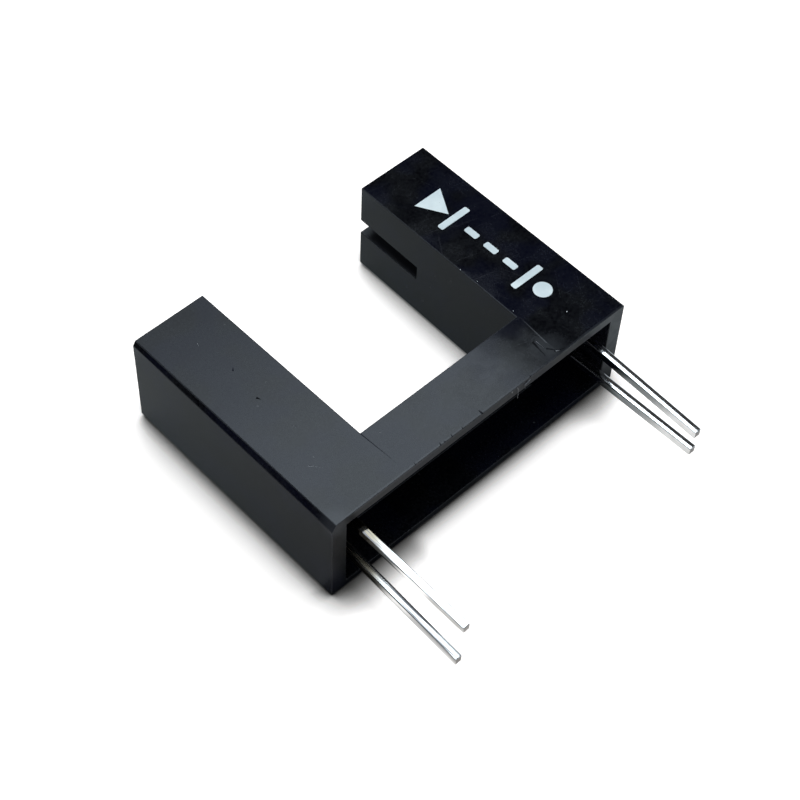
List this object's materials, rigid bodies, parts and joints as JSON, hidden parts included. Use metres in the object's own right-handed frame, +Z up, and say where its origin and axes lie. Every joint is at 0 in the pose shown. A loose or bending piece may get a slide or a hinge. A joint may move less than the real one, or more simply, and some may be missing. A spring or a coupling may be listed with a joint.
{
  "type": "slotted optical switch",
  "caption": "U-shaped slotted optical switch: a hollow black moulded housing holds an infrared emitter and a detector that face each other across a slot, with bright square solder leads.",
  "frame": {"origin": "under the middle of the whole part, leads included, on the broad face that it lies on", "axes": "+X across the slot towards the detector arm, +Y from the lead ends to the arm tips, +Z up through the thickness"},
  "size_m": [0.0184, 0.0204, 0.0058],
  "materials": {
    "housing_plastic": "satin black moulded thermoplastic",
    "clear_epoxy": "clear, faintly blue cast epoxy",
    "dark_epoxy": "near-black infrared-passing cast epoxy",
    "tinned_lead": "bright tin plate on a stamped lead frame",
    "emitter_chip": "sawn infrared diode chip",
    "detector_chip": "polished silicon phototransistor chip",
    "gold_wire": "drawn gold bond wire"
  },
  "bodies": {
    "root": {"housing": "housing_plastic", "emitter_package": "clear_epoxy", "emitter_anode_lead": "tinned_lead", "emitter_cathode_lead": "tinned_lead", "emitter_die": "emitter_chip", "emitter_bond_wire": "gold_wire", "detector_package": "dark_epoxy", "detector_emitter_lead": "tinned_lead", "detector_collector_lead": "tinned_lead", "detector_die": "detector_chip", "detector_bond_wire": "gold_wire"}
  },
  "joints": []
}
